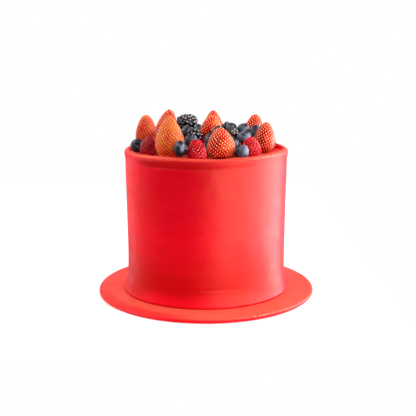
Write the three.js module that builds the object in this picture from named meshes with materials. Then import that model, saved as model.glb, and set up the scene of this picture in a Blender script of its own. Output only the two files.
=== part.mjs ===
// Berry cake: a tall round cake under smooth red icing. It stands on a flat disc of the same
// icing, a little wider than itself, and fresh berries are heaped on its shallow sunk top.
// Millimetres, +Z up. The origin is the centre of the disc's underside.

import * as THREE from "three";

// ---------------------------------------------------------------- driving dimensions

const BRIM_RADIUS = 128;
const BRIM_THICKNESS = 5;
const BRIM_EDGE = 2.2; // rounding of the disc's rim

const CAKE_HEIGHT = 171; // from the disc's underside to the top of the icing wall
const FOOT_RADIUS = 98.1; // where the icing skirt meets the disc
const WAIST_RADIUS = 93; // the narrowest place
const WAIST_HEIGHT = 50;
const LIP_RADIUS = 95.4;
const LIP_HEIGHT = 11; // of the band round the top that leans out to the lip
const LIP_PROUD = 1.1;
const SKIRT_HEIGHT = 20; // the icing flares over this height above the disc
const SKIRT_EASE = 0.5; // how far the skirt's top still stands out from the waist
const WALL_THICKNESS = 6; // of the icing that stands above the cake's top
const WALL_ROUND = 4.2; // rounding of that wall's outer edge
const WALL_EDGE = 1.5; // rounding of its inner edge
const TOP_DEPTH = 4.5; // from the wall's top down to the cake's top

const SEAT_GAP = 0.3; // air between the cake and the disc it stands on
const BERRY_GAP = 0.45; // air between two berries

const ROUND_SEGMENTS = 42; // facets round the cake
const ARC_STEPS = 2; // facets in a rounded edge

const FLOOR = CAKE_HEIGHT - TOP_DEPTH;
const WALL_RADIUS = LIP_RADIUS - WALL_THICKNESS;

// Each kind of berry is a body of revolution with its base at height 0 and its tip at its
// length. Taper is how much it narrows to the tip (0 is round), and cut is the share of its
// half turn at which the base is cut off.
const KINDS = {
  strawberry: { taper: 0.35, cut: 0.86, sides: 11, rings: 7, color: 0xd8301c, roughness: 0.45 },
  raspberry: { taper: 0.16, cut: 0.74, sides: 8, rings: 4, color: 0xb8142c, roughness: 0.6 },
  bramble: { taper: 0.08, cut: 0.82, sides: 8, rings: 4, color: 0x1b1519, roughness: 0.25 },
  blueberry: { taper: 0, cut: 0.96, sides: 8, rings: 5, crowned: true, color: 0x343a52, roughness: 0.7 },
};
const DRUPELET_RELIEF = 0.1; // depth of the valleys between drupelets, as a share of the width
const RASPBERRY_HOLLOW = 0.4; // depth of the hole the stalk leaves, as a share of the length
const BRAMBLE_CORE = 0.08; // depth of the pale core's seat
const STRAWBERRY_DISH = 0.06; // depth of the cut where the leaves were
const CALYX_RADIUS = 0.42; // of a blueberry's crown, as a share of its radius
const CALYX_PROUD = 0.04; // how far the crown stands up, as a share of the length
const CALYX_DEPTH = 0.16; // depth of the pit inside it

// The berries in the order they are laid, lowest first. Across is +X and back is +Y, both at
// the middle of the berry. Lean tips the berry's tip off the vertical, and toward is the
// heading of that tip in degrees: 0 is +X and 90 is +Y, the back.
// [kind, across, back, length, width, lean, toward]
const HEAP = [
  // tall strawberries and the ring along the wall, at the front and sides
  ["strawberry", -69.8, 8, 41, 27, 2, 180],
  ["strawberry", -48, 53, 43, 28, 11, 5],
  ["strawberry", -39.7, -57, 46.5, 32.5, 1, 180],
  ["strawberry", 8.5, 45, 43, 28, 1, 90],
  ["strawberry", 16, -61, 33, 32, 12, 110],
  ["strawberry", 58.3, 44, 38, 27, 6, 0],
  ["strawberry", 67.8, -8, 34, 26, 8, 10],
  ["raspberry", -64, -38, 20.5, 19, 14, 30],
  ["raspberry", -10, -76.5, 22.5, 21, 8, 140],
  ["raspberry", 50, -50, 21, 21, 14, 190],
  ["raspberry", 73.7, 13.5, 19, 19, 12, 300],
  ["blueberry", -79, -15, 15, 16.5, 80, 280],
  ["blueberry", 40, -69, 13, 17, 85, 180],
  ["blueberry", 78.5, 30, 10.5, 11.5, 30, 120],
  ["blueberry", -27.3, -80.5, 14, 18.5, 90, 0],
  // the layer on the cake's top that carries the upper berries
  ["raspberry", -24, 32, 17, 20, 6, 200],
  ["blueberry", -26, 8, 14.5, 17, 8, 60],
  ["blueberry", -14, -15, 10.5, 14, 10, 160],
  ["blueberry", -17, -37, 10.5, 14, 10, 80],
  ["raspberry", -8, 20, 16.5, 19, 5, 40],
  ["blueberry", 5, -5, 12.5, 18, 0, 0],
  ["blueberry", -1, -41, 12.5, 15, 12, 230],
  ["raspberry", 15, -31, 17, 18, 4, 300],
  ["blueberry", 24, 27, 11.5, 14, 10, 20],
  ["raspberry", 31, 9, 14, 18.5, 0, 0],
  ["raspberry", 50, 12, 17.5, 18.5, 5, 250],
  ["blueberry", 32.5, -10.5, 11, 14.5, 8, 130],
  ["blueberry", 45, -27, 11.2, 14.5, 10, 350],
  ["blueberry", 46.6, -7, 10.5, 11.5, 10, 80],
  ["raspberry", -51.5, -10, 15, 18, 10, 120],
  ["raspberry", -36, -16, 21, 18.5, 6, 330],
  ["bramble", -41, 13, 20, 18.5, 8, 15],
  ["blueberry", -11.5, -56.5, 15, 16.5, 8, 60],
  ["blueberry", -46.5, 30.5, 13, 15.5, 25, 200],
  // the back
  ["raspberry", -68, 36, 20, 19, 12, 250],
  ["strawberry", -20, 72, 32, 26, 6, 120],
  ["strawberry", 8, 75, 36, 25, 5, 90],
  ["raspberry", 32, 73, 21, 18, 8, 60],
  ["bramble", 33.5, 50.5, 20, 18, 8, 150],
  ["blueberry", 52, 65, 13, 14, 30, 40],
  ["blueberry", -13, 48, 13, 15, 30, 10],
  // the berries on top
  ["bramble", -24, 32, 25, 22, 78, 190],
  ["blueberry", -22.6, 8, 13, 14.5, 30, 280],
  ["strawberry", 6.3, -3, 29, 26, 3, 10],
  ["blueberry", -16.7, -36, 13, 14.5, 40, 250],
  ["bramble", -12.8, -17, 18.5, 17, 15, 200],
  ["blueberry", -8.5, 17, 12, 13.5, 20, 250],
  ["blueberry", 5.5, -37, 13, 15, 30, 250],
  ["blueberry", 14, -25, 14, 16, 20, 240],
  ["blueberry", 30, -33, 13, 15, 30, 290],
  ["bramble", 31, -9, 19, 17, 60, 260],
  ["bramble", 24.5, 24, 19.5, 18, 40, 60],
  ["blueberry", 43.3, -26, 14, 17, 20, 300],
  ["blueberry", 48.3, -3.5, 12.5, 13.5, 30, 30],
  ["blueberry", 44.3, 14, 13, 15.2, 30, 300],
  ["blueberry", 58.6, 8, 13.5, 15, 50, 250],
  ["blueberry", 30.3, 8, 12.5, 14.6, 60, 300],
  ["blueberry", -50.5, -8, 12.5, 13.5, 30, 250],
];

// ---------------------------------------------------------------- outlines

// Points on a quarter arc round (cx, cz), from one heading to another in degrees.
function arc(cx, cz, radius, from, to) {
  return Array.from({ length: ARC_STEPS + 1 }, (_, i) => {
    const a = THREE.MathUtils.degToRad(from + ((to - from) * i) / ARC_STEPS);
    return [cx + radius * Math.cos(a), cz + radius * Math.sin(a)];
  });
}

// An outline of [radius, height] pairs turned round the Z axis into a closed solid.
function revolve(outline, segments) {
  const points = outline.map(([r, z]) => new THREE.Vector2(r, z));
  return new THREE.LatheGeometry(points, segments).rotateX(Math.PI / 2);
}

function brimOutline() {
  const reach = BRIM_RADIUS - BRIM_EDGE;
  return [
    [0, 0],
    ...arc(reach, BRIM_EDGE, BRIM_EDGE, -90, 0),
    ...arc(reach, BRIM_THICKNESS - BRIM_EDGE, BRIM_EDGE, 0, 90),
    [0, BRIM_THICKNESS],
  ];
}

function cakeOutline() {
  const seat = BRIM_THICKNESS + SEAT_GAP;
  const skirtTop = BRIM_THICKNESS + SKIRT_HEIGHT;
  const lipFoot = CAKE_HEIGHT - LIP_HEIGHT;
  const underLip = LIP_RADIUS - LIP_PROUD;
  const skirt = FOOT_RADIUS - WAIST_RADIUS;
  return [
    [0, seat],
    [FOOT_RADIUS - 1.2, seat],
    [FOOT_RADIUS, seat + 1.5],
    [FOOT_RADIUS - skirt * 0.35, BRIM_THICKNESS + SKIRT_HEIGHT * 0.35],
    [WAIST_RADIUS + skirt * 0.28, BRIM_THICKNESS + SKIRT_HEIGHT * 0.8],
    [WAIST_RADIUS + SKIRT_EASE, skirtTop],
    [WAIST_RADIUS, WAIST_HEIGHT],
    [THREE.MathUtils.lerp(WAIST_RADIUS, underLip, 0.55), (WAIST_HEIGHT + lipFoot) / 2],
    [underLip, lipFoot],
    ...arc(LIP_RADIUS - WALL_ROUND, CAKE_HEIGHT - WALL_ROUND, WALL_ROUND, 0, 90),
    ...arc(WALL_RADIUS + WALL_EDGE, CAKE_HEIGHT - WALL_EDGE, WALL_EDGE, 90, 180),
    [WALL_RADIUS, FLOOR + 1],
    [WALL_RADIUS - 1, FLOOR],
    [0, FLOOR],
  ];
}

// A berry's outer outline from its base ring up to its tip.
function berryOutline({ taper, cut, crowned }, rings, length, width) {
  const bulge = (a) => Math.sin(a) * (1 - taper * Math.cos(a));
  const last = cut * Math.PI;
  const span = 1 - Math.cos(last);
  const samples = Array.from({ length: 60 }, (_, i) => bulge((i / 60) * Math.PI));
  const widest = Math.max(...samples);
  const tall = crowned ? length * (1 - CALYX_PROUD) : length;
  const outline = Array.from({ length: rings + 1 }, (_, i) => {
    const a = last * (1 - i / rings);
    const radius = i === rings ? 0 : (width / 2) * (bulge(a) / widest);
    return [radius, (tall * (Math.cos(a) - Math.cos(last))) / span];
  });
  if (!crowned) return outline;
  const rim = (CALYX_RADIUS * width) / 2;
  const skin = outline.filter(([r, z]) => z < length / 2 || r > rim * 1.15);
  return [...skin, [rim, length]];
}

// ---------------------------------------------------------------- berries

function strawberry(outline, kind, length) {
  return revolve([[0, STRAWBERRY_DISH * length], ...outline], kind.sides);
}

// The stalk end is at the base, and the crown is a proud ring round a pit at the tip.
function blueberry(outline, kind, length) {
  return revolve([[0, 0], ...outline, [0, length * (1 - CALYX_DEPTH)]], kind.sides);
}

// A skin of drupelets: every second ring of points is turned by half a step, and a point
// pressed in at the middle of each triangle makes the valleys.
function pebbled(outline, kind, length, width, hollow) {
  const { sides } = kind;
  const relief = DRUPELET_RELIEF * width;
  const middle = new THREE.Vector3(0, 0, length / 2);
  const ring = ([r, z], i) =>
    Array.from({ length: sides }, (_, k) => {
      const a = ((k + (i % 2) / 2) / sides) * 2 * Math.PI;
      return new THREE.Vector3(r * Math.cos(a), r * Math.sin(a), z);
    });
  const rings = outline.slice(0, -1).map(ring);
  const tip = new THREE.Vector3(0, 0, length);
  const pit = new THREE.Vector3(0, 0, hollow * length);
  const corners = [];
  const facet = (a, b, c) => {
    const valley = a.clone().add(b).add(c).divideScalar(3);
    const inward = middle.clone().sub(valley).setLength(relief * 0.5);
    valley.add(inward);
    corners.push(a, b, valley, b, c, valley, c, a, valley);
  };
  rings.forEach((lower, i) => {
    const upper = rings[i + 1];
    for (let k = 0; k < sides; k++) {
      const next = (k + 1) % sides;
      if (!upper) {
        facet(lower[k], lower[next], tip);
      } else if (i % 2) {
        facet(lower[k], upper[next], upper[k]);
        facet(lower[k], lower[next], upper[next]);
      } else {
        facet(lower[k], lower[next], upper[k]);
        facet(lower[next], upper[next], upper[k]);
      }
      if (i === 0) corners.push(lower[next], lower[k], pit);
    }
  });
  return new THREE.BufferGeometry().setFromPoints(corners);
}

const SHAPES = {
  strawberry,
  blueberry,
  raspberry: (outline, kind, length, width) =>
    pebbled(outline, kind, length, width, RASPBERRY_HOLLOW),
  bramble: (outline, kind, length, width) =>
    pebbled(outline, kind, length, width, BRAMBLE_CORE),
};

// ---------------------------------------------------------------- the heap

const SKIN_RINGS = 14; // rings of points on a berry's skin when it is tested for contact
const SKIN_STEPS = 14; // points in each ring
const DROP_HEIGHT = 250;
const DROP_STEP = 0.5;
const FINE_STEPS = 6;

// A berry ready to be laid: its turn, and points on its skin measured from its middle.
function layable([kind, across, back, length, width, lean, toward]) {
  const heading = THREE.MathUtils.degToRad(toward);
  const tipping = new THREE.Vector3(-Math.sin(heading), Math.cos(heading), 0);
  const turn = new THREE.Quaternion().setFromAxisAngle(tipping, THREE.MathUtils.degToRad(lean));
  const outline = berryOutline(KINDS[kind], SKIN_RINGS, length, width);
  const skin = outline.flatMap(([r, z]) =>
    Array.from({ length: SKIN_STEPS }, (_, k) => {
      const a = (k / SKIN_STEPS) * 2 * Math.PI;
      return new THREE.Vector3(r * Math.cos(a), r * Math.sin(a), z - length / 2).applyQuaternion(turn);
    }),
  );
  const axis = new THREE.Vector3(0, 0, 1).applyQuaternion(turn);
  const middle = new THREE.Vector3(across, back, DROP_HEIGHT);
  return { kind, length, width, turn, outline, skin, axis, middle };
}

// Whether a point measured from the berry's middle is within the gap of its skin.
function inside(berry, point) {
  const height = point.dot(berry.axis) + berry.length / 2;
  if (height < -BERRY_GAP || height > berry.length + BERRY_GAP) return false;
  const { outline } = berry;
  const above = outline.findIndex(([, z]) => z >= height);
  const [r1, z1] = above < 0 ? outline.at(-1) : outline[above];
  const [r0, z0] = outline[Math.max(above - 1, 0)];
  const share = z1 > z0 ? Math.max((height - z0) / (z1 - z0), 0) : 1;
  const radius = THREE.MathUtils.lerp(r0, r1, share) + BERRY_GAP;
  const across = Math.sqrt(Math.max(point.lengthSq() - (height - berry.length / 2) ** 2, 0));
  return across < radius;
}

function pokes(berry, other) {
  const offset = berry.middle.clone().sub(other.middle);
  return berry.skin.some((p) => inside(other, p.clone().add(offset)));
}

// Whether a point is within the gap of the cake's top or of the round-edged wall about it.
function inIcing({ x, y, z }) {
  const inward = Math.max(WALL_RADIUS + WALL_EDGE - Math.hypot(x, y), 0);
  const above = Math.max(z - (CAKE_HEIGHT - WALL_EDGE), 0);
  return z < FLOOR + BERRY_GAP || Math.hypot(inward, above) < WALL_EDGE + BERRY_GAP;
}

function blocked(berry, laid) {
  const onCake = berry.skin.some((p) => inIcing(p.clone().add(berry.middle)));
  const reach = (a) => Math.max(a.length, a.width) * 0.75;
  return (
    onCake ||
    laid.some(
      (other) =>
        berry.middle.distanceTo(other.middle) < reach(berry) + reach(other) &&
        (pokes(berry, other) || pokes(other, berry)),
    )
  );
}

// Lowers a berry straight down until it touches what lies below, then closes in on the contact.
function settle(berry, laid) {
  while (!blocked(berry, laid)) berry.middle.z -= DROP_STEP;
  let step = DROP_STEP;
  berry.middle.z += step;
  for (let i = 0; i < FINE_STEPS; i++) {
    step /= 2;
    berry.middle.z -= step;
    if (blocked(berry, laid)) berry.middle.z += step;
  }
}

// ---------------------------------------------------------------- the cake

const icing = new THREE.MeshStandardMaterial({ color: 0xdf1226, roughness: 0.5, metalness: 0 });
const cake = new THREE.Group();

function add(name, geometry, material) {
  const mesh = new THREE.Mesh(geometry, material);
  mesh.name = name;
  cake.add(mesh);
  return mesh;
}

add("brim", revolve(brimOutline(), ROUND_SEGMENTS + 10), icing.clone());
add("crown", revolve(cakeOutline(), ROUND_SEGMENTS), icing.clone());

const laid = [];
const counts = {};
for (const row of HEAP) {
  const berry = layable(row);
  settle(berry, laid);
  laid.push(berry);
  const { kind: name, length, width } = berry;
  const kind = KINDS[name];
  counts[name] = (counts[name] ?? 0) + 1;
  const outline = berryOutline(kind, kind.rings, length, width);
  const geometry = SHAPES[name](outline, kind, length, width);
  geometry.translate(0, 0, -length / 2);
  const { color, roughness } = kind;
  const skin = new THREE.MeshStandardMaterial({ color, roughness, metalness: 0 });
  const mesh = add(`${name}_${String(counts[name]).padStart(2, "0")}`, geometry, skin);
  mesh.position.copy(berry.middle);
  mesh.quaternion.copy(berry.turn);
}

export default cake;
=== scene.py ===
import math

import bmesh
import bpy
import numpy as np
from mathutils import Matrix
from mathutils.bvhtree import BVHTree
from mathutils.kdtree import KDTree


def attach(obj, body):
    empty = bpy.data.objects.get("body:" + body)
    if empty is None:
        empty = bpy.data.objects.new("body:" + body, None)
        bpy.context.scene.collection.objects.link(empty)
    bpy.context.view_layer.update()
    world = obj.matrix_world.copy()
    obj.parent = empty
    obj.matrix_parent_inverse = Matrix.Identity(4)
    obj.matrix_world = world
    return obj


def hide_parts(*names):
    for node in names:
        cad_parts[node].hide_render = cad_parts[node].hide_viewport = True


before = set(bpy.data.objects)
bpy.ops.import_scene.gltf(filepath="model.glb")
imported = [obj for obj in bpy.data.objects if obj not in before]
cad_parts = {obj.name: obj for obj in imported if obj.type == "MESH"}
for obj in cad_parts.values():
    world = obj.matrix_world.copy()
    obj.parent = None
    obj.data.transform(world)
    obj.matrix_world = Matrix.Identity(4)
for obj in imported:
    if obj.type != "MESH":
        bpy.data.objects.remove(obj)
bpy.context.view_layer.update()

# ---------------------------------------------------------------- the brim
# A disc of red sugar icing, rolled out by hand and cut round, that the whole cake stands on.
# Its rim is rubbed round and wanders a little. It rolls down at the front left, and sugar dust
# with a painted highlight lies on its edge at the front right. Its top has a painted sheen.

MM = 0.001
ROUND = 2 * math.pi

BRIM_RADIUS = 128 * MM
BRIM_THICKNESS = 5 * MM
BRIM_EDGE = 2.2 * MM
BRIM_STEPS = 240
ROLL_HEADING = 226
ROLL_SPREAD = 30
ROLL_DROP = 2 * MM
ROLL_START = 108 * MM


def arc(across, up, radius, start, end, steps=8):
    """Points on an arc round (across, up), from one heading to another in degrees."""
    headings = np.radians(np.linspace(start, end, steps + 1))
    return [(across + radius * math.cos(a), up + radius * math.sin(a)) for a in headings]


def waves(seed, turn, height, tallest):
    """A smooth wander between about -1 and 1 over the turn round the cake and the height."""
    draw = np.random.default_rng(seed)
    total = 0
    for count in (1, 2, 3, 5, 7, 11):
        lean, phase = draw.uniform(-1.5, 1.5), draw.uniform(0, ROUND)
        total = total + np.cos(count * turn + lean * height / tallest * ROUND + phase) / count ** 0.7
    return total / 2.6


def turned(name, outline, steps, wander):
    """A closed mesh turned from an outline of (radius, height) points, from axis to axis.
    wander gives how far each point strays, outwards and upwards."""
    radius, height = np.array(outline)[1:-1].T
    turn = np.arange(steps) * ROUND / steps
    turn, radius = np.meshgrid(turn, radius)
    height = np.repeat(height[:, None], steps, axis=1)
    out, up = wander(turn, radius, height)
    radius, height = radius + out, height + up
    points = np.stack([radius * np.cos(turn), radius * np.sin(turn), height], axis=-1)
    points = np.concatenate([points.reshape(-1, 3), [(0, 0, outline[0][1]), (0, 0, outline[-1][1])]])
    rings = len(radius)
    at = np.arange(rings * steps).reshape(rings, steps)
    after = np.roll(at, -1, axis=1)
    sides = np.stack([at[:-1], after[:-1], after[1:], at[1:]], axis=-1).reshape(-1, 4)
    low, high = rings * steps, rings * steps + 1
    floor = [(low, b, a) for a, b in zip(at[0], after[0])]
    roof = [(high, a, b) for a, b in zip(at[-1], after[-1])]
    return closed_mesh(name, points, sides.tolist() + floor + roof)


def closed_mesh(name, points, faces):
    mesh = bpy.data.meshes.new(name)
    mesh.from_pydata(points, [], faces)
    mesh.polygons.foreach_set("use_smooth", [True] * len(mesh.polygons))
    return mesh


def mark(mesh, name, values, kind="FLOAT", field="value"):
    """Keeps a value at each point of a mesh for its finish to read."""
    values = np.asarray(values, bool if kind == "BOOLEAN" else np.float32)
    mesh.attributes.new(name, kind, "POINT").data.foreach_set(field, values.ravel())


def set_out(name, mesh, finish=None):
    """Puts a mesh on the cake as a piece of its own."""
    piece = bpy.data.objects.new(name, mesh)
    bpy.context.scene.collection.objects.link(piece)
    if finish:
        mesh.materials.append(finish)
    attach(piece, "root")
    return piece


class Tap:
    """One output of a node, so that a finish is written as a sum."""

    def __init__(self, graph, socket):
        self.graph, self.socket = graph, socket

    def maths(self, operation, *values):
        return self.graph.node("ShaderNodeMath", {"operation": operation}, dict(enumerate(values)))

    def __add__(self, other):
        return self.maths("ADD", self, other)

    __radd__ = __add__

    def __sub__(self, other):
        return self.maths("SUBTRACT", self, other)

    def __rsub__(self, other):
        return self.maths("SUBTRACT", other, self)

    def __mul__(self, other):
        return self.maths("MULTIPLY", self, other)

    __rmul__ = __mul__

    def __truediv__(self, other):
        return self.maths("DIVIDE", self, other)

    def __pow__(self, other):
        return self.maths("POWER", self, other)

    def rise(self, low, high):
        """0 below low, 1 above high, and a smooth rise between."""
        settings = {"interpolation_type": "SMOOTHSTEP"}
        values = {"Value": self, "From Min": low, "From Max": high}
        return self.graph.node("ShaderNodeMapRange", settings, values)


class Graph:
    """A node tree that is being written."""

    def __init__(self, tree):
        self.tree = tree
        tree.nodes.clear()

    def node(self, kind, settings=None, values=None, out=0):
        """Adds a node: its settings first, then the values or taps of its sockets."""
        made = self.tree.nodes.new(kind)
        for key, value in (settings or {}).items():
            if key == "stops":
                self.stops(made.color_ramp.elements, value)
            else:
                setattr(made, key, value)
        for key, value in (values or {}).items():
            if isinstance(value, Tap):
                self.tree.links.new(value.socket, made.inputs[key])
            else:
                made.inputs[key].default_value = value
        return Tap(self, made.outputs[out]) if len(made.outputs) else made

    def stops(self, elements, wanted):
        while len(elements) < len(wanted):
            elements.new(1)
        for element, (place, color) in zip(elements, wanted):
            element.position, element.color = place, (*color, 1)

    def mix(self, share, first, second):
        """One colour over another."""
        settings = {"data_type": "RGBA"}
        values = {0: share, 6: first, 7: second}
        values = {k: (*v, 1) if isinstance(v, tuple) else v for k, v in values.items()}
        return self.node("ShaderNodeMix", settings, values, out=2)

    def place(self):
        return self.node("ShaderNodeTexCoord", out=3)

    def parts(self, vector):
        return [self.node("ShaderNodeSeparateXYZ", None, {0: vector}, out=k) for k in range(3)]

    def speckle(self, scale, detail=3.0, vector=None, rough=0.5):
        values = {"Scale": scale, "Detail": detail, "Roughness": rough, "Vector": vector or self.place()}
        return self.node("ShaderNodeTexNoise", None, values)

    def attribute(self, name):
        return self.node("ShaderNodeAttribute", {"attribute_name": name}, out=2)


class Finish(Graph):
    """A material made from one Principled shader."""

    def __init__(self, name):
        self.material = bpy.data.materials.new(name)
        self.material.use_nodes = True
        super().__init__(self.material.node_tree)

    def done(self, color, rough, bumps=(), constants=None):
        """Closes the finish. bumps are (height, distance) pairs, and constants fill shader sockets."""
        normal = None
        for height, distance in bumps:
            values = {"Height": height, "Distance": distance, "Strength": 1.0}
            if normal:
                values["Normal"] = normal
            normal = self.node("ShaderNodeBump", None, values)
        values = {"Base Color": color, "Roughness": rough, **(constants or {})}
        if normal:
            values["Normal"] = normal
        shader = self.node("ShaderNodeBsdfPrincipled", None, values)
        self.node("ShaderNodeOutputMaterial", None, {"Surface": shader})
        return self.material


ICING_DEEP = (0.78, 0.0002, 0.011)
ICING_FRESH = (0.92, 0.0010, 0.019)
# Paler icing colour of the painted sheen on top surfaces.
ICING_PAINTED_SHEEN = (0.86, 0.068, 0.042)
# Sugar dust colour, which also stands for a painted highlight on the rim's edge.
ICING_DUST_AND_HIGHLIGHT = (0.86, 0.36, 0.30)
# Darker icing colour of the painted shade.
ICING_PAINTED_SHADE = (0.58, 0.0001, 0.004)


def icing(name, rim_radius, rim_top, sheen_depth, inside, heading, spread, flour, foot_shade, shaded_places):
    """Red sugar icing, satin, with hand marks. A painted sheen makes it paler on top, most at
    the front: down to sheen_depth under its rim's top, and all over within the inside radius.
    Sugar dust with a painted highlight lies on the rim's edge, spread degrees to each side of
    the heading. Painted shade darkens the foot, by foot_shade, and each shaded place: a heading,
    a height and how far it reaches up and down. Floured icing is the brim's, and at its left rim
    and where its rim is rolled down the painted sheen is left off, so it keeps its full red."""
    mixing = Finish(name)
    place = mixing.place()
    x, y, z = mixing.parts(place)
    broad = mixing.speckle(9, 2)
    values = {0: place, 1: (1.0, 1.0, 3.5)}
    stroked = mixing.node("ShaderNodeVectorMath", {"operation": "MULTIPLY"}, values)
    streaks = mixing.speckle(26, 4, stroked, 0.6)
    grain = mixing.speckle(1400, 2)
    tone = (broad * 0.7 + streaks * 0.3).rise(0.34, 0.66)
    color = mixing.mix(tone, ICING_DEEP, ICING_FRESH)

    out = (x * x + y * y) ** 0.5

    def facing(degrees):
        """1 straight toward this heading, falling to -1 away from it."""
        turn = math.radians(degrees)
        return (x * math.cos(turn) + y * math.sin(turn)) / (out + 1e-6)

    # Painted sheen: paler on the top down to sheen_depth, over the floor inside the wall, and most at the
    # front.
    painted_sheen = z.rise(rim_top - sheen_depth, rim_top - 0.6 * sheen_depth)
    within = (1 - out.rise(inside - MM, inside)) * z.rise(rim_top - 20 * MM, rim_top - 10 * MM)
    front = ((0 - y) / (out + 1e-6)).rise(-0.2, 0.8)
    left = ((0 - x) / (out + 1e-6)).rise(0.1, 0.5)
    # The painted sheen is left off at the brim's left rim and where its rim rolls down, so these keep their
    # full red.
    sheen_left_off = out.rise(rim_radius - 5.0 * MM, rim_radius - 2.0 * MM) * left
    rolled = facing(ROLL_HEADING).rise(0.76, 0.95)
    rolled = rolled * out.rise(rim_radius - 17.0 * MM, rim_radius - 8.0 * MM)
    sheen_left_off = sheen_left_off.maths("MAXIMUM", sheen_left_off, rolled) * (1 if flour else 0)
    painted_sheen = painted_sheen.maths("MAXIMUM", painted_sheen, within) * (0.45 + front * 0.55) * (0.75 + broad * 0.5) * (1 - sheen_left_off)
    # Painted shade: darker low on the wall above the foot, and at each shaded place.
    foot = z.rise(10 * MM, 22 * MM) * (1 - z.rise(30 * MM, 85 * MM))
    color = mixing.mix(foot * foot_shade, color, ICING_PAINTED_SHADE)
    for turn, height, reach in shaded_places:
        band = 1 - z.maths("ABSOLUTE", z - height) / reach
        color = mixing.mix(facing(turn).rise(0.80, 0.97) * band.rise(0.0, 0.6) * 0.9, color, ICING_PAINTED_SHADE)
    color = mixing.mix(painted_sheen, color, ICING_PAINTED_SHEEN)
    # Sugar dust on the rim's top outer edge toward the heading, with a painted highlight.
    near = math.cos(math.radians(spread))
    stretch = facing(heading).rise(near - 0.02, near + 0.02)
    edge = out.rise(rim_radius - 1.6 * MM, rim_radius - 0.7 * MM)
    edge = edge * z.rise(rim_top - 1.5 * MM, rim_top - 0.5 * MM)
    crumbs = mixing.speckle(420, 4, rough=0.7).rise(0.5, 0.62)
    dust_and_highlight = stretch * edge * crumbs
    color = mixing.mix(dust_and_highlight, color, ICING_DUST_AND_HIGHLIGHT)
    rough = 0.36 + streaks.rise(0.3, 0.7) * 0.12 + dust_and_highlight * 0.4
    bumps = [(mixing.speckle(24, 2), 1.4 * MM), (mixing.speckle(75, 3), 0.4 * MM)]
    bumps += [(streaks, 0.08 * MM), (grain, 0.012 * MM)]
    sheen = {"Sheen Weight": flour, "Sheen Roughness": 0.5, "Sheen Tint": (1.0, 0.45, 0.28, 1)}
    shine = {"Specular IOR Level": 0.04, "Specular Tint": (1.0, 0.82, 0.48, 1)}
    return mixing.done(color, rough, bumps, {**shine, **sheen})


def brim_outline():
    reach = BRIM_RADIUS - BRIM_EDGE
    low = arc(reach, BRIM_EDGE, BRIM_EDGE, -90, 0)
    high = arc(reach, BRIM_THICKNESS - BRIM_EDGE, BRIM_EDGE, 0, 90)
    under = [(r * reach, 0) for r in (0, 0.5, 0.9)]
    top = [(r * reach, BRIM_THICKNESS) for r in (0.98, 0.96, 0.93, 0.9, 0.86, 0.82, 0.78, 0.7, 0.4, 0)]
    return under + low + high + top


def swell(turn, middle, spread):
    """1 where the turn is at the middle heading, fading over the spread, both in degrees."""
    away = (np.degrees(turn) - middle + 180) % 360 - 180
    return np.exp(-((away / spread) ** 2))


def brim_wander(turn, radius, height):
    """The rim wanders a little, and its top rolls down at the front left."""
    rim = np.clip((radius / BRIM_RADIUS - 0.75) / 0.25, 0, 1)
    out = 0.7 * MM * waves(3, turn, height, 1) * rim
    up = 0.35 * MM * waves(4, turn, radius, BRIM_RADIUS) * (height / BRIM_THICKNESS) * rim
    share = np.clip((radius - ROLL_START) / (BRIM_RADIUS - ROLL_START), 0, 1) ** 2
    rolled = swell(turn, ROLL_HEADING, ROLL_SPREAD) * share
    return out, up - ROLL_DROP * rolled * height / BRIM_THICKNESS


# The brim's top gets a painted sheen, left off at its left rim and where it rolls down.
brim_icing = icing("brim icing", BRIM_RADIUS, BRIM_THICKNESS, 1.4 * MM, 0, -57, 17, 0.3, 0.0, [])
brim_mesh = turned("icing_brim", brim_outline(), BRIM_STEPS, brim_wander)
brim = set_out("icing_brim", brim_mesh, brim_icing)
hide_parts("brim")

# ---------------------------------------------------------------- the cake
# A tall round cake coated in one sheet of icing. The sheet stands up past the cake's top as a
# low wall with a rounded edge, thumbed into a slight lip outside, and flares at the foot.

CAKE_HEIGHT = 171 * MM
CAKE_SEAT = BRIM_THICKNESS + 0.3 * MM
FOOT_RADIUS = 98.1 * MM
LIP_RADIUS = 95.4 * MM
WALL_THICKNESS = 6 * MM
WALL_ROUND = 4.2 * MM
WALL_EDGE = 1.5 * MM
CAKE_TOP = CAKE_HEIGHT - 4.5 * MM
WALL_INSIDE = LIP_RADIUS - WALL_THICKNESS
CAKE_STEPS = 320
GROOVE_HEIGHT = 160.3 * MM
CREASE_HEIGHT = 25.5 * MM
FOLD_HEIGHT = 23 * MM

# Radius and height of the icing's side in millimetres, from the foot to the lip.
SIDE = [
    (98.1, 6.8), (97.3, 9), (96.2, 12), (95.0, 16.5), (94.1, 21), (93.5, 26), (93.2, 32), (93, 42),
    (93, 52), (93.2, 75), (93.5, 100), (93.9, 125), (94.2, 145), (94.3, 156), (94.3, 160), (94.8, 163),
    (95.2, 165), (95.4, 166.8),
]


def eased(points, steps):
    """A smooth curve through the points, as steps + 1 points evenly far apart."""
    points = np.array(points, float)
    slope = np.gradient(points, axis=0)
    curve = []
    for a, b, m, n in zip(points[:-1], points[1:], slope[:-1], slope[1:]):
        for t in np.linspace(0, 1, 24, endpoint=False):
            curve.append((2 * t**3 - 3 * t**2 + 1) * a + (t**3 - 2 * t**2 + t) * m
                         + (3 * t**2 - 2 * t**3) * b + (t**3 - t**2) * n)
    curve = np.array(curve + [points[-1]])
    run = np.concatenate([[0], np.cumsum(np.linalg.norm(np.diff(curve, axis=0), axis=1))])
    stops = np.linspace(0, run[-1], steps + 1)
    return [(np.interp(s, run, curve[:, 0]), np.interp(s, run, curve[:, 1])) for s in stops]


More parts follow.
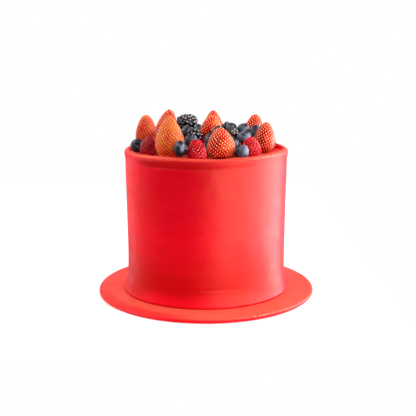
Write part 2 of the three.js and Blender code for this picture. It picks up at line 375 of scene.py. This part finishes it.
def cake_outline():
    side = [(r * MM, z * MM) for r, z in eased(SIDE, 150)]
    outer = arc(LIP_RADIUS - WALL_ROUND, CAKE_HEIGHT - WALL_ROUND, WALL_ROUND, 0, 90, 12)
    inner = arc(WALL_INSIDE + WALL_EDGE, CAKE_HEIGHT - WALL_EDGE, WALL_EDGE, 90, 180, 6)
    fillet = arc(WALL_INSIDE - MM, CAKE_TOP + MM, MM, 0, -90, 3)
    seat = [(0, CAKE_SEAT), (FOOT_RADIUS * 0.6, CAKE_SEAT), (FOOT_RADIUS - 1.2 * MM, CAKE_SEAT)]
    top = [(r * WALL_INSIDE, CAKE_TOP) for r in (0.96, 0.9, 0.8, 0.65, 0.5, 0.3, 0.1, 0)]
    return seat + side + outer + inner + fillet + top


# Where the wall's edge rises or dips: the turn in degrees, how far it spreads, and by how much.
ROLLS = [(205, 12, -0.6), (240, 16, 1.0), (279, 8, -0.6), (328, 22, 1.7), (40, 25, 0.8), (120, 30, -0.7)]


def cake_wander(turn, radius, height):
    """The wall's edge rolls up and down, and the side keeps broad hand marks. The lip is pushed
    in harder at the front left, where the foot spreads wider too. A crease with a fold under it
    runs above the skirt at the front."""
    low = np.clip(height / CAKE_HEIGHT - 0.05, 0, 1)
    edge = np.clip((height - 150 * MM) / (21 * MM), 0, 1)
    wall = radius > WALL_INSIDE - 0.5 * MM
    out = 0.35 * MM * waves(11, turn, height, CAKE_HEIGHT) * np.minimum(low * 4, 1) * wall
    out = out + 0.4 * MM * waves(12, turn, height, 1) * edge * wall
    roll = sum(rise * swell(turn, middle, spread) for middle, spread, rise in ROLLS)
    up = MM * (0.2 * waves(13, turn, height, 1) + roll) * edge**2 * wall
    reach = np.where(height > GROOVE_HEIGHT, 3.6 * MM, 1.7 * MM)
    groove = np.exp(-(((height - GROOVE_HEIGHT) / reach) ** 2)) * (radius > 93 * MM)
    out = out - 1.6 * MM * swell(turn, 245, 24) * groove
    crease = np.exp(-(((height - CREASE_HEIGHT) / (1.1 * MM)) ** 2)) * (radius > 90 * MM)
    fold = np.exp(-(((height - FOLD_HEIGHT) / (1.6 * MM)) ** 2)) * (radius > 90 * MM)
    out = out - MM * swell(turn, 262, 22) * (0.6 * crease - 0.35 * fold)
    flare = np.clip(1 - (height - CAKE_SEAT) / (15 * MM), 0, 1) ** 1.5 * (radius > 90 * MM)
    out = out + 2.4 * MM * swell(turn, 216, 28) * flare
    floor = (1 - wall) * (height > 100 * MM)
    up = up + 0.3 * MM * waves(14, turn, radius, WALL_INSIDE) * floor
    return out, up


# The cake gets a painted sheen on its wall's top and the floor inside, and painted shade low on the wall and
# at three places: under the lip at the front left, low down at the front left, and low down at the left.
cake_icing = icing("cake icing", LIP_RADIUS, CAKE_HEIGHT, 2.8 * MM, WALL_INSIDE + MM, -52, 20, 0.0, 0.85,
                   [(247, 163.5 * MM, 6 * MM), (236, 30 * MM, 13 * MM), (196, 24 * MM, 20 * MM)])
cake_mesh = turned("iced_cake", cake_outline(), CAKE_STEPS, cake_wander)
cake = set_out("iced_cake", cake_mesh, cake_icing)
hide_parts("crown")

# ---------------------------------------------------------------- strawberries
# Whole ripe strawberries with their leaves cut off, stood on the cut. The skin is drawn into
# a pit at each seed, with painted shade in the pit, and it ripens from orange to deep red.


def unit(vector):
    return vector / np.linalg.norm(vector)


class Laid:
    """Where a berry lies: the foot of its axis, its three directions, length and width.
    The axis runs through the end where the most faces of its plain solid meet."""

    def __init__(self, node):
        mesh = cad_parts[node].data
        place = np.empty(len(mesh.vertices) * 3)
        mesh.vertices.foreach_get("co", place)
        corner = np.empty(len(mesh.loops), int)
        mesh.loops.foreach_get("vertex_index", corner)
        faces = place.reshape(-1, 3)[corner].reshape(-1, 3, 3)
        points, uses = np.unique(faces.reshape(-1, 3).round(6), axis=0, return_counts=True)
        share = np.einsum("ij,ij->i", faces[:, 0], np.cross(faces[:, 1], faces[:, 2]))
        middle = (faces.sum(axis=1) * share[:, None]).sum(axis=0) / (4 * share.sum())
        ends = points[uses == uses.max()]
        reach = np.linalg.norm(ends - middle, axis=1)
        crowned = node.startswith("blueberry")
        self.up = unit(ends[reach.argmin() if crowned else reach.argmax()] - middle)
        self.seed = sum(k * ord(c) for k, c in enumerate(node))
        self.draw = np.random.default_rng(self.seed)
        spare = np.eye(3)[np.abs(self.up).argmin()]
        self.side = unit(np.cross(self.up, spare))
        self.front = np.cross(self.up, self.side)
        height = (points - middle) @ self.up
        self.foot = middle + self.up * height.min()
        self.length = np.ptp(height)
        off_axis = points - middle - np.outer(height, self.up)
        self.width = 2 * np.linalg.norm(off_axis, axis=1).max()

    def at(self, radius, turn, height):
        """Points at these distances from the berry's axis, turns round it and heights."""
        across = np.outer(radius * np.cos(turn), self.side) + np.outer(radius * np.sin(turn), self.front)
        return self.foot + across + np.outer(height, self.up)

    def heading(self, out, turn, up):
        across = np.outer(out * np.cos(turn), self.side) + np.outer(out * np.sin(turn), self.front)
        return across + np.outer(up, self.up)


class Outline:
    """A berry's outline from its tip down to its base and in over the base, measured by the
    area of skin that it sweeps, so that points can be spread evenly over the skin."""

    def __init__(self, taper, cut, length, width, sunk, point=1.0):
        turn = np.linspace(0, cut * math.pi, 240)
        bulge = np.sin(turn) * (1 - taper * np.cos(turn))
        bulge = bulge / bulge.max()
        widest = bulge.argmax()
        bulge[:widest] = bulge[:widest] ** point
        radius = bulge * width / 2
        height = (np.cos(turn) - math.cos(turn[-1])) / (1 - math.cos(turn[-1])) * length
        inwards = np.linspace(1, 0, 40)[1:]
        self.radius = np.concatenate([radius, radius[-1] * inwards])
        self.height = np.concatenate([height, sunk * length * (1 - inwards**2)])
        across, down = np.gradient(self.radius), np.gradient(self.height)
        steep = np.hypot(across, down)
        self.out, self.up = -down / steep, across / steep
        run = np.hypot(np.diff(self.radius), np.diff(self.height))
        area = run * (self.radius[1:] + self.radius[:-1]) * math.pi
        self.area = np.concatenate([[0], np.cumsum(area)])
        self.skin = self.area[len(radius) - 1]

    def read(self, area):
        """Radius, height, and the outward direction's two parts, where this much area is passed."""
        return [np.interp(area, self.area, line) for line in (self.radius, self.height, self.out, self.up)]


GOLDEN = math.pi * (3 - math.sqrt(5))


def spiral(outline, spacing, first=0.5):
    """Turn and area of points about this far apart in a spiral over the skin, as seeds grow."""
    count = int(outline.skin / (spacing**2 * 0.866))
    order = np.arange(count) + first
    return order * GOLDEN, order / count * outline.skin


def ball(fineness):
    """Turn, share of the area and faces of an even ball of triangles."""
    shape = bmesh.new()
    bmesh.ops.create_icosphere(shape, subdivisions=fineness, radius=1)
    shape.verts.ensure_lookup_table()
    points = np.array([v.co for v in shape.verts])
    faces = [[v.index for v in f.verts] for f in shape.faces]
    shape.free()
    return np.arctan2(points[:, 1], points[:, 0]), (1 - points[:, 2]) / 2, faces


STRAWBERRY_BALL = ball(6)
SEED_SPACING = 3.4 * MM
SEED_PIT = 0.7 * MM
SEED_PIT_RADIUS = 1.15 * MM
# How ripe each strawberry is, from 0 for orange to 1 for deep red, the way it ripens and by how
# much, and how pointed it is, below 1 for a blunt tip.
RIPENESS = {
    "strawberry_01": (0.50, (0.2, 0, -1), 0.30, 0.82),
    "strawberry_02": (0.50, (-0.6, 0, -0.4), 0.20, 0.92),
    "strawberry_03": (0.05, (0.8, 0, -1), 0.42, 1.05),
    "strawberry_04": (0.45, (0, 0, -1), 0.20, 0.95),
    "strawberry_05": (0.52, (-1, 0, -0.2), 0.32, 0.97),
    "strawberry_06": (0.55, (-0.4, 0, -1), 0.25, 0.82),
    "strawberry_07": (0.72, (-1, 0, -0.5), 0.15, 0.95),
    "strawberry_08": (0.65, (0, 0, -1), 0.20, 0.95),
    "strawberry_09": (0.35, (0.5, 0, -1), 0.30, 0.95),
    "strawberry_10": (0.45, (-1, 0, -0.3), 0.35, 0.88),
}


def strawberry_lumps(laid, turn, height):
    """How much wider the berry is here than a turned one would be."""
    a, b, c = laid.draw.uniform(0, ROUND, 3)
    rise = height / laid.length
    wide = 0.022 * np.cos(2 * turn + a) + 0.016 * np.cos(3 * turn + b + 2 * rise)
    return 1 + wide - 0.012 * np.cos(5 * turn + c) * (1 - rise)


def strawberry(node, seeds):
    laid = Laid(node)
    ripeness, riper, amount, point = RIPENESS[node]
    outline = Outline(0.35, 0.86, laid.length, laid.width * 0.985, 0.05, point)

    def lumps(turn, height):
        return strawberry_lumps(Laid(node), turn, height)

    turn, area = spiral(outline, SEED_SPACING)
    area = area + laid.draw.uniform(-0.25, 0.25, len(area)) * outline.skin / len(area)
    radius, height, out, up = outline.read(area)
    radius = radius * lumps(turn, height)
    outward = laid.heading(out, turn, up)
    pits = laid.at(radius, turn, height)
    seeds["place"].append(pits - outward * SEED_PIT * 0.4)
    seeds["out"].append(outward)
    seeds["along"].append(laid.heading(-up, turn, out))
    tree = KDTree(len(pits))
    for k, pit in enumerate(pits):
        tree.insert(pit, k)
    tree.balance()

    ball_turn, share, faces = STRAWBERRY_BALL
    radius, height, out, up = outline.read(share * outline.area[-1])
    radius = radius * lumps(ball_turn, height)
    skin = laid.at(radius, ball_turn, height)
    near = np.array([tree.find(point)[2] for point in skin])
    hollow = np.exp(-((near / SEED_PIT_RADIUS) ** 2))
    skin = skin - laid.heading(out, ball_turn, up) * (SEED_PIT * hollow)[:, None]
    mesh = closed_mesh("ripe_" + node, skin, faces)
    way = (skin - skin.mean(axis=0)) @ unit(np.array(riper, float)) / (laid.length / 2)
    mark(mesh, "ripe", ripeness + amount * way)
    mark(mesh, "pit", hollow)
    return mesh


def strawberry_finish():
    mixing = Finish("strawberry skin")
    ripe, pit = mixing.attribute("ripe"), mixing.attribute("pit")
    redness = ripe + 0.12 + (mixing.speckle(130, 3) - 0.5) * 2.0
    stops = [(0, (0.82, 0.125, 0.003)), (0.3, (0.80, 0.034, 0.002)),
             (0.65, (0.68, 0.004, 0.002)), (1, (0.42, 0.001, 0.002))]
    color = mixing.node("ShaderNodeValToRGB", {"stops": stops}, {0: redness})
    # Painted shade: the skin is darkened in each seed's pit.
    color = mixing.mix(pit * 0.4, color, (0.34, 0.006, 0.002))
    rough = 0.2 + mixing.speckle(300, 2) * 0.08
    glow = {"Subsurface Weight": 0.05, "Subsurface Radius": (1.0, 0.25, 0.1), "Subsurface Scale": 1.5 * MM}
    shine = {"Specular IOR Level": 0.05, "Specular Tint": (1.0, 0.72, 0.42, 1)}
    return mixing.done(color, rough, [(mixing.speckle(900, 2), 0.04 * MM)], {**shine, **glow})


def seed_finish():
    mixing = Finish("strawberry seed")
    tint = mixing.attribute("tint")
    color = mixing.mix(tint, (0.72, 0.32, 0.045), (0.92, 0.55, 0.15))
    return mixing.done(color, 0.3 + tint * 0.1)


def bead_tree():
    """Grows a bead at each marked point of a berry, pointing outwards, and keeps the rest of
    the berry as its core."""
    tree = bpy.data.node_groups.new("beads", "GeometryNodeTree")
    graph = Graph(tree)
    face = tree.interface.new_socket
    face("Berry", in_out="OUTPUT", socket_type="NodeSocketGeometry")
    for name, kind in (("Berry", "Geometry"), ("Length", "Float"), ("Width", "Float"), ("Depth", "Float"),
                       ("Spread", "Float"), ("Fineness", "Int"), ("Seed", "Int"), ("Finish", "Material")):
        face(name, in_out="INPUT", socket_type="NodeSocket" + kind)
    given = tree.nodes.new("NodeGroupInput")
    berry, length, width, depth, spread, fineness, seed, finish = (Tap(graph, s) for s in given.outputs[:8])

    def named(name, kind="FLOAT_VECTOR"):
        return graph.node("GeometryNodeInputNamedAttribute", {"data_type": kind}, {"Name": name})

    bead = graph.node("GeometryNodeMeshIcoSphere", None, {"Radius": 1.0, "Subdivisions": fineness})
    stood = graph.node("FunctionNodeAlignRotationToVector", {"axis": "Z"}, {"Vector": named("out")})
    values = {"Rotation": stood, "Vector": named("along")}
    laid = graph.node("FunctionNodeAlignRotationToVector", {"axis": "X", "pivot_axis": "Z"}, values)
    size = graph.node("ShaderNodeCombineXYZ", None, {0: length, 1: width, 2: depth})
    values = {2: 1 - spread, 3: 1 + spread, "Seed": seed}
    chance = graph.node("FunctionNodeRandomValue", {"data_type": "FLOAT"}, values, out=1)
    chance = chance * named("size", "FLOAT")
    size = graph.node("ShaderNodeVectorMath", {"operation": "SCALE"}, {0: size, "Scale": chance})
    marked = named("bead", "BOOLEAN")
    values = {"Points": berry, "Selection": marked, "Instance": bead, "Rotation": laid, "Scale": size}
    beads = graph.node("GeometryNodeInstanceOnPoints", None, values)
    values = {2: 0.0, 3: 1.0, "Seed": seed + 1}
    tint = graph.node("FunctionNodeRandomValue", {"data_type": "FLOAT"}, values, out=1)
    values = {"Geometry": beads, "Name": "tint", "Value": tint}
    settings = {"data_type": "FLOAT", "domain": "INSTANCE"}
    beads = graph.node("GeometryNodeStoreNamedAttribute", settings, values)
    values = {"Geometry": berry, "Selection": marked}
    core = graph.node("GeometryNodeDeleteGeometry", {"domain": "POINT"}, values)
    both = graph.node("GeometryNodeJoinGeometry", None, {"Geometry": core})
    tree.links.new(beads.socket, both.socket.node.inputs[0])
    whole = graph.node("GeometryNodeRealizeInstances", None, {"Geometry": both})
    whole = graph.node("GeometryNodeSetShadeSmooth", None, {"Geometry": whole})
    whole = graph.node("GeometryNodeSetMaterial", None, {"Geometry": whole, "Material": finish})
    graph.node("NodeGroupOutput", None, {0: whole})
    return tree


BEADS = bead_tree()


def beaded(name, slot, finish, beads, core=([], []), **sizes):
    """A piece with a bead at each place. beads holds arrays of place, out, along and size, and
    core the points and faces of the body between the beads."""
    points, faces = core
    count = len(beads["place"])
    places = np.concatenate([np.reshape(points, (-1, 3)), beads["place"]])
    mesh = bpy.data.meshes.new(name)
    mesh.from_pydata(places, [], faces)
    blank = len(places) - count
    for key, kind in (("out", "FLOAT_VECTOR"), ("along", "FLOAT_VECTOR"), ("size", "FLOAT")):
        values = np.concatenate([np.zeros((blank, *np.shape(beads[key])[1:])), beads[key]])
        mark(mesh, key, values, kind, "value" if kind == "FLOAT" else "vector")
    mark(mesh, "bead", np.arange(len(places)) >= blank, "BOOLEAN")
    piece = bpy.data.objects.new(name, mesh)
    bpy.context.scene.collection.objects.link(piece)
    modifier = piece.modifiers.new("beads", "NODES")
    modifier.node_group = BEADS
    values = {"Finish": finish, **{key.title(): value for key, value in sizes.items()}}
    for socket in BEADS.interface.items_tree:
        if socket.in_out == "INPUT" and socket.name in values:
            modifier[socket.identifier] = values[socket.name]
    depsgraph = bpy.context.evaluated_depsgraph_get()
    grown = bpy.data.meshes.new_from_object(piece.evaluated_get(depsgraph), depsgraph=depsgraph)
    piece.modifiers.clear()
    piece.data = grown
    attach(piece, "root")
    return piece


strawberry_skin = strawberry_finish()
seeds = {"place": [], "out": [], "along": []}
for node in sorted(RIPENESS):
    berry = set_out("ripe_" + node, strawberry(node, seeds), strawberry_skin)
    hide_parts(node)
seeds = {key: np.concatenate(value) for key, value in seeds.items()}
seeds["size"] = np.ones(len(seeds["place"]))
beaded("strawberry_seeds", "strawberry_seed", seed_finish(), seeds,
       length=0.86 * MM, width=0.52 * MM, depth=0.42 * MM, spread=0.14, fineness=1, seed=5)

# ---------------------------------------------------------------- raspberries and brambles
# Each is a cluster of round drupelets grown on a core. A raspberry comes off its core, so it
# is hollow underneath. A bramble keeps its core, and is nearly black and glossy.

NODES = sorted(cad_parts)
CORE_BALL = ball(4)


def cluster(node, finish, taper, cut, sunk, spacing, bulge):
    """A berry of drupelets. bulge is a drupelet's radius as a share of their spacing."""
    laid = Laid(node)
    bead = spacing * bulge
    inset = bead * 0.8
    outline = Outline(taper, cut, laid.length - inset, laid.width - 2 * inset, sunk)
    turn, area = spiral(outline, spacing, laid.draw.uniform(0.3, 0.9))
    area = area + laid.draw.uniform(-0.35, 0.35, len(area)) * outline.skin / len(area)
    radius, height, out, up = outline.read(np.clip(area, 0, outline.skin))
    a, b = laid.draw.uniform(0, ROUND, 2)
    radius = radius * (1 + 0.03 * np.cos(2 * turn + a) + 0.02 * np.cos(3 * turn + b))
    lift = min(bead * 0.5, inset)
    beads = {
        "place": laid.at(radius, turn, height + lift * (height < bead)),
        "out": laid.heading(out, turn, up),
        "along": laid.heading(-up, turn, out),
        "size": laid.draw.uniform(0.9, 1.12, len(turn)),
    }
    ball_turn, share, faces = CORE_BALL
    radius, height, out, up = outline.read(share * outline.area[-1])
    core = laid.at(radius, ball_turn, height)
    piece = beaded("ripe_" + node, node.split("_")[0], finish, beads, (core, faces), length=bead,
                   width=bead * 0.96, depth=bead * 0.94, spread=0.05, fineness=2, seed=laid.seed)
    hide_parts(node)


def raspberry_finish(name, fresh, ripe):
    mixing = Finish(name)
    tint = mixing.attribute("tint")
    blotch = mixing.speckle(70, 2)
    color = mixing.mix(tint * 0.5 + blotch * 0.5, fresh, ripe)
    bloom = mixing.speckle(500, 3).rise(0.5, 0.85)
    color = mixing.mix(bloom * 0.10, color, (0.72, 0.25, 0.27))
    glow = {"Subsurface Weight": 0.08, "Subsurface Radius": (1.0, 0.2, 0.15), "Subsurface Scale": 1.2 * MM}
    shine = {"Specular IOR Level": 0.08, "Specular Tint": (1.0, 0.75, 0.75, 1)}
    return mixing.done(color, 0.2 + bloom * 0.2, [(mixing.speckle(1500, 2), 0.02 * MM)], {**glow, **shine})


def bramble_finish():
    mixing = Finish("bramble skin")
    tint = mixing.attribute("tint")
    stops = [(0, (0.003, 0.002, 0.004)), (0.7, (0.008, 0.004, 0.008)),
             (0.93, (0.035, 0.006, 0.012)), (1, (0.10, 0.012, 0.016))]
    color = mixing.node("ShaderNodeValToRGB", {"stops": stops}, {0: tint})
    gloss = {"Specular IOR Level": 0.0, "Coat Weight": 0.5, "Coat Roughness": 0.06}
    return mixing.done(color, 0.3 + mixing.speckle(400, 2) * 0.1, constants=gloss)


raspberry_skin = raspberry_finish("raspberry skin", (0.78, 0.004, 0.016), (0.42, 0.002, 0.008))
# A darker copy of the raspberry skin, painted shade for raspberry_01, which lies in shade at the left.
shaded_raspberry_skin = raspberry_finish("shaded raspberry skin", (0.46, 0.003, 0.012), (0.24, 0.001, 0.005))
bramble_skin = bramble_finish()
for node in NODES:
    if node.startswith("raspberry"):
        # raspberry_01 takes the painted shade copy of the skin.
        skin = shaded_raspberry_skin if node == "raspberry_01" else raspberry_skin
        cluster(node, skin, 0.16, 0.74, 0.35, 3.1 * MM, 0.6)
    elif node.startswith("bramble"):
        cluster(node, bramble_skin, 0.08, 0.82, 0.08, 5.0 * MM, 0.57)

# ---------------------------------------------------------------- blueberries
# Smooth navy berries under a pale wax bloom. The end away from the stalk keeps a crown of
# five short lobes round a small dark pit.

CROWN_RADIUS = 0.42


def blueberry_mesh(laid, around=40):
    """The skin from the stalk end up, then the crown's lobes, its inner wall and its pit."""
    draw = laid.draw
    tall, wide = laid.length * 0.96, laid.width / 2
    turn = np.linspace(0.96 * math.pi, 0, 200)
    radius, height = np.sin(turn) * wide, (np.cos(turn) + math.cos(0.04 * math.pi)) / 2 * tall
    keep = (radius > CROWN_RADIUS * wide * 1.18) | (height < tall / 2)
    radius, height = radius[keep][::8], height[keep][::8]
    skin = [(r / wide, z / laid.length, 0) for r, z in zip(radius, height) if r > 0.05 * wide]
    top = skin[-1][1]
    # radius, height and how far the five lobes lift or spread that ring
    crown = [(1.1, top + 0.01, 0), (1.03, top + 0.03, 0.3), (1.04, 0.985, 1), (0.93, 0.985, 1),
             (0.86, 0.93, 0.2), (0.72, 0.87, 0), (0.4, 0.845, 0)]
    rings = skin + [(r * CROWN_RADIUS, z, lobe) for r, z, lobe in crown]
    steps = np.arange(around) * ROUND / around
    lobes = np.cos(5 * steps + draw.uniform(0, ROUND))
    a, b = draw.uniform(0, ROUND, 2)
    lumpy = 1 + 0.018 * np.cos(2 * steps + a) + 0.01 * np.cos(3 * steps + b)
    points = []
    for r, z, lobe in rings:
        radius = r * wide * lumpy + lobe * 0.035 * wide * lobes
        height = z * laid.length + lobe * 0.03 * laid.length * lobes
        points.append(laid.at(radius, steps, height))
    bottom = laid.at(np.array([0.0]), np.array([0.0]), np.array([skin[0][1] * laid.length]))
    pit = laid.at(np.array([0.0]), np.array([0.0]), np.array([0.84 * laid.length]))
    points = np.concatenate([*points, bottom, pit])
    count = len(rings)
    at = np.arange(count * around).reshape(count, around)
    after = np.roll(at, -1, axis=1)
    sides = np.stack([at[:-1], at[1:], after[1:], after[:-1]], axis=-1).reshape(-1, 4).tolist()
    low, high = len(points) - 2, len(points) - 1
    ends = [(low, a, b) for a, b in zip(at[0], after[0])] + [(high, b, a) for a, b in zip(at[-1], after[-1])]
    crown_depth = np.repeat([0.0] * len(skin) + [0.3, 0.7, 1, 1, 1, 1, 1], around)
    return points, sides + ends, np.concatenate([crown_depth, [0, 1]])


def blueberry_piece(name, berries):
    """One piece from the points, faces and crown marks of one berry or more."""
    points, faces, crown, shade, start = [], [], [], [], 0
    for spots, sides, marks, bloom in berries:
        points.append(spots)
        faces += [[start + corner for corner in side] for side in sides]
        crown.append(marks)
        shade.append(np.full(len(spots), bloom))
        start += len(spots)
    mesh = closed_mesh(name, np.concatenate(points), faces)
    mark(mesh, "crown", np.concatenate(crown))
    mark(mesh, "bloom", np.concatenate(shade))
    shape = bmesh.new()
    shape.from_mesh(mesh)
    bmesh.ops.recalc_face_normals(shape, faces=shape.faces)
    shape.to_mesh(mesh)
    shape.free()
    return set_out(name, mesh, blueberry_skin)


def blueberry_finish():
    mixing = Finish("blueberry skin")
    crown, bloom = mixing.attribute("crown"), mixing.attribute("bloom")
    patches = mixing.speckle(230, 4, rough=0.7)
    wax = (patches + bloom * 0.3).rise(0.5, 0.72)
    skin = mixing.mix(mixing.speckle(60, 2), (0.004, 0.005, 0.011), (0.012, 0.008, 0.017))
    color = mixing.mix(wax * 0.8, skin, (0.092, 0.108, 0.165))
    fine = mixing.speckle(900, 3).rise(0.5, 0.75)
    color = mixing.mix(fine * wax * 0.4, color, (0.21, 0.23, 0.29))
    color = mixing.mix(crown * 0.8, color, (0.018, 0.012, 0.016))
    shine = {"Specular IOR Level": 0.10}
    return mixing.done(color, 0.34 + wax * 0.25, [(mixing.speckle(1100, 2), 0.02 * MM)], shine)


blueberry_skin = blueberry_finish()
BLOOM = {"blueberry_02": 0.75, "blueberry_04": 0.0, "blueberry_01": 0.15}
for node in NODES:
    if node.startswith("blueberry"):
        laid = Laid(node)
        bloom = BLOOM.get(node, laid.draw.uniform(0.2, 0.8))
        berry = blueberry_piece("ripe_" + node, [(*blueberry_mesh(laid), bloom)])
        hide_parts(node)

# Small ones fill what room is left on the cake's top between the larger fruit.
SMALLEST, LARGEST = 3.4 * MM, 7.0 * MM
fruit = [name for name in NODES if name not in ("crown", "brim")]
corners = []
for name in fruit:
    corners += [v.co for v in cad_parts[name].data.vertices]
thicket = BVHTree.FromPolygons(corners, [(k, k + 1, k + 2) for k in range(0, len(corners), 3)])


class Small:
    """A small berry that lies on the cake's top, tilted its own way."""

    def __init__(self, draw, x, y, radius):
        self.draw, self.length, self.width = draw, 1.84 * radius, 2 * radius
        tilt, heading = draw.uniform(0.1, 1.2), draw.uniform(0, ROUND)
        level = np.array([math.cos(heading), math.sin(heading), 0])
        self.up = math.sin(tilt) * level + math.cos(tilt) * np.array([0, 0, 1.0])
        self.side = unit(np.cross(self.up, level))
        self.front = np.cross(self.up, self.side)
        self.foot = np.array([x, y, CAKE_TOP + radius]) - self.up * self.length / 2

    at = Laid.at


def room(x, y, placed):
    """The radius of the largest ball that fits on the cake's top here, or 0."""
    best = 0
    for radius in np.linspace(SMALLEST, LARGEST, 7):
        spot = np.array([x, y, CAKE_TOP + radius])
        nearest, normal, index, gap = thicket.find_nearest(spot)
        inside = (spot - np.array(nearest)) @ np.array(normal) < 0
        others = all(np.linalg.norm(spot - other) > radius + size for other, size in placed)
        if not inside and gap > radius and others and math.hypot(x, y) < WALL_INSIDE - radius:
            best = radius
    return best


draw = np.random.default_rng(23)
small, placed = [], []
for x, y in draw.uniform(-WALL_INSIDE, WALL_INSIDE, (1500, 2)):
    radius = room(x, y, placed)
    if radius and math.hypot(x, y) < 62 * MM and -44 * MM < y < 40 * MM and x < 45 * MM:
        placed.append((np.array([x, y, CAKE_TOP + radius]), radius))
        small.append((*blueberry_mesh(Small(draw, x, y, radius * 0.98), 24), draw.uniform(0.1, 0.6)))
blueberry_piece("small_blueberries", small)

# ---------------------------------------------------------------- the studio
# A plain pale floor, large soft lights at the right, left and overhead, and a white surround.
# Each light gives either light or highlights, so that a satin skin can be lit and shine apart.
# The floor is small, so that it doesn't hide the right-hand highlights from the low wall.

WEST, EAST, SOUTH, NORTH = -0.7, 0.22, -0.24, 0.7
floor_mesh = bpy.data.meshes.new("floor")
floor_corners = [(WEST, SOUTH, 0), (EAST, SOUTH, 0), (EAST, NORTH, 0), (WEST, NORTH, 0)]
floor_mesh.from_pydata(floor_corners, [], [(0, 1, 2, 3)])
floor = bpy.data.objects.new("floor", floor_mesh)
bpy.context.scene.collection.objects.link(floor)
paint = Finish("floor paint")
pale = paint.mix(paint.speckle(3), (0.88, 0.88, 0.88), (0.90, 0.90, 0.90))
floor_mesh.materials.append(paint.done(pale, 0.7))
floor.visible_glossy = False


def softbox(name, place, target, wide, high, radiance, gives):
    """A rectangular light that faces the target. It gives either light or highlights."""
    lamp = bpy.data.lights.new(name, "AREA")
    lamp.shape = "RECTANGLE"
    lamp.size, lamp.size_y = wide, high
    lamp.energy = radiance * math.pi * wide * high
    light = bpy.data.objects.new(name, lamp)
    bpy.context.scene.collection.objects.link(light)
    away = unit(np.array(place, float) - np.array(target, float))
    side = unit(np.cross((0, 0, 1), away)) if abs(away[2]) < 0.99 else np.array([1.0, 0, 0])
    up = np.cross(away, side)
    turned_to = np.eye(4)
    turned_to[:3] = np.stack([side, up, away, place], axis=1)
    light.matrix_world = Matrix(turned_to)
    light.visible_camera = False
    light.visible_diffuse = gives != "highlights"
    light.visible_glossy = gives != "light"


softbox("key", (1.15, 0.0, 0.35), (0, 0, 0.35), 1.6, 1.7, 3.2, gives="light")
softbox("key_front", (0.75, -1.06, 0.35), (0, 0, 0.35), 0.7, 1.7, 1.3, gives="light")
softbox("key_shine", (1.16, 0.0, 0.35), (0, 0, 0.35), 1.6, 1.7, 38.0, gives="highlights")
softbox("key_front_shine", (0.71, -1.10, 0.35), (0, 0, 0.35), 1.0, 1.7, 38.0, gives="highlights")
softbox("left", (-1.15, 0.5, 0.35), (0, 0, 0.35), 1.4, 1.7, 1.3, gives="light")
softbox("left_window", (-1.16, 0.5, 0.35), (0, 0, 0.35), 1.4, 1.7, 2.0, gives="highlights")
softbox("left_shine", (-0.8, 0.1, 1.0), (0, 0, 0.18), 0.7, 0.7, 20.0, gives="highlights")
softbox("overhead", (0.0, 0.2, 1.6), (0, 0, 0.1), 2.5, 2.5, 1.1, gives="light")
softbox("fill_left", (-1.0, -0.8, 1.0), (0, 0, 0.1), 1.0, 1.0, 1.1, gives="light")
softbox("fill_front", (-0.3, -1.2, 0.9), (0, 0, 0.1), 1.2, 1.2, 1.2, gives="light")

surround = bpy.data.worlds.new("surround")
surround.use_nodes = True
air = Graph(surround.node_tree)
east, north, up = air.parts(air.node("ShaderNodeTexCoord", out=0))
behind = north.rise(-0.15, 0.35) * up.rise(-0.5, 0.0)
seen = air.node("ShaderNodeLightPath", out=0)
strength = behind * 0.9 + 0.03
strength = strength + seen * (1.0 - strength)
white = air.node("ShaderNodeBackground", None, {"Color": (1, 1, 1, 1), "Strength": strength})
air.node("ShaderNodeOutputWorld", None, {"Surface": white})
bpy.context.scene.world = surround
bpy.context.scene.view_settings.view_transform = "Standard"

# The camera stands where the photograph was taken.
LOOKS_DOWN = 0.2101
eye = bpy.data.cameras.new("camera")
eye.lens, eye.sensor_width = 71.5, 36
eye.clip_start, eye.clip_end = 0.01, 50
camera = bpy.data.objects.new("camera", eye)
camera.location = (2.24 * MM, -959.9 * MM, 303.3 * MM)
camera.rotation_euler = (math.radians(90) - LOOKS_DOWN, 0, 0)
bpy.context.scene.collection.objects.link(camera)
bpy.context.scene.camera = camera
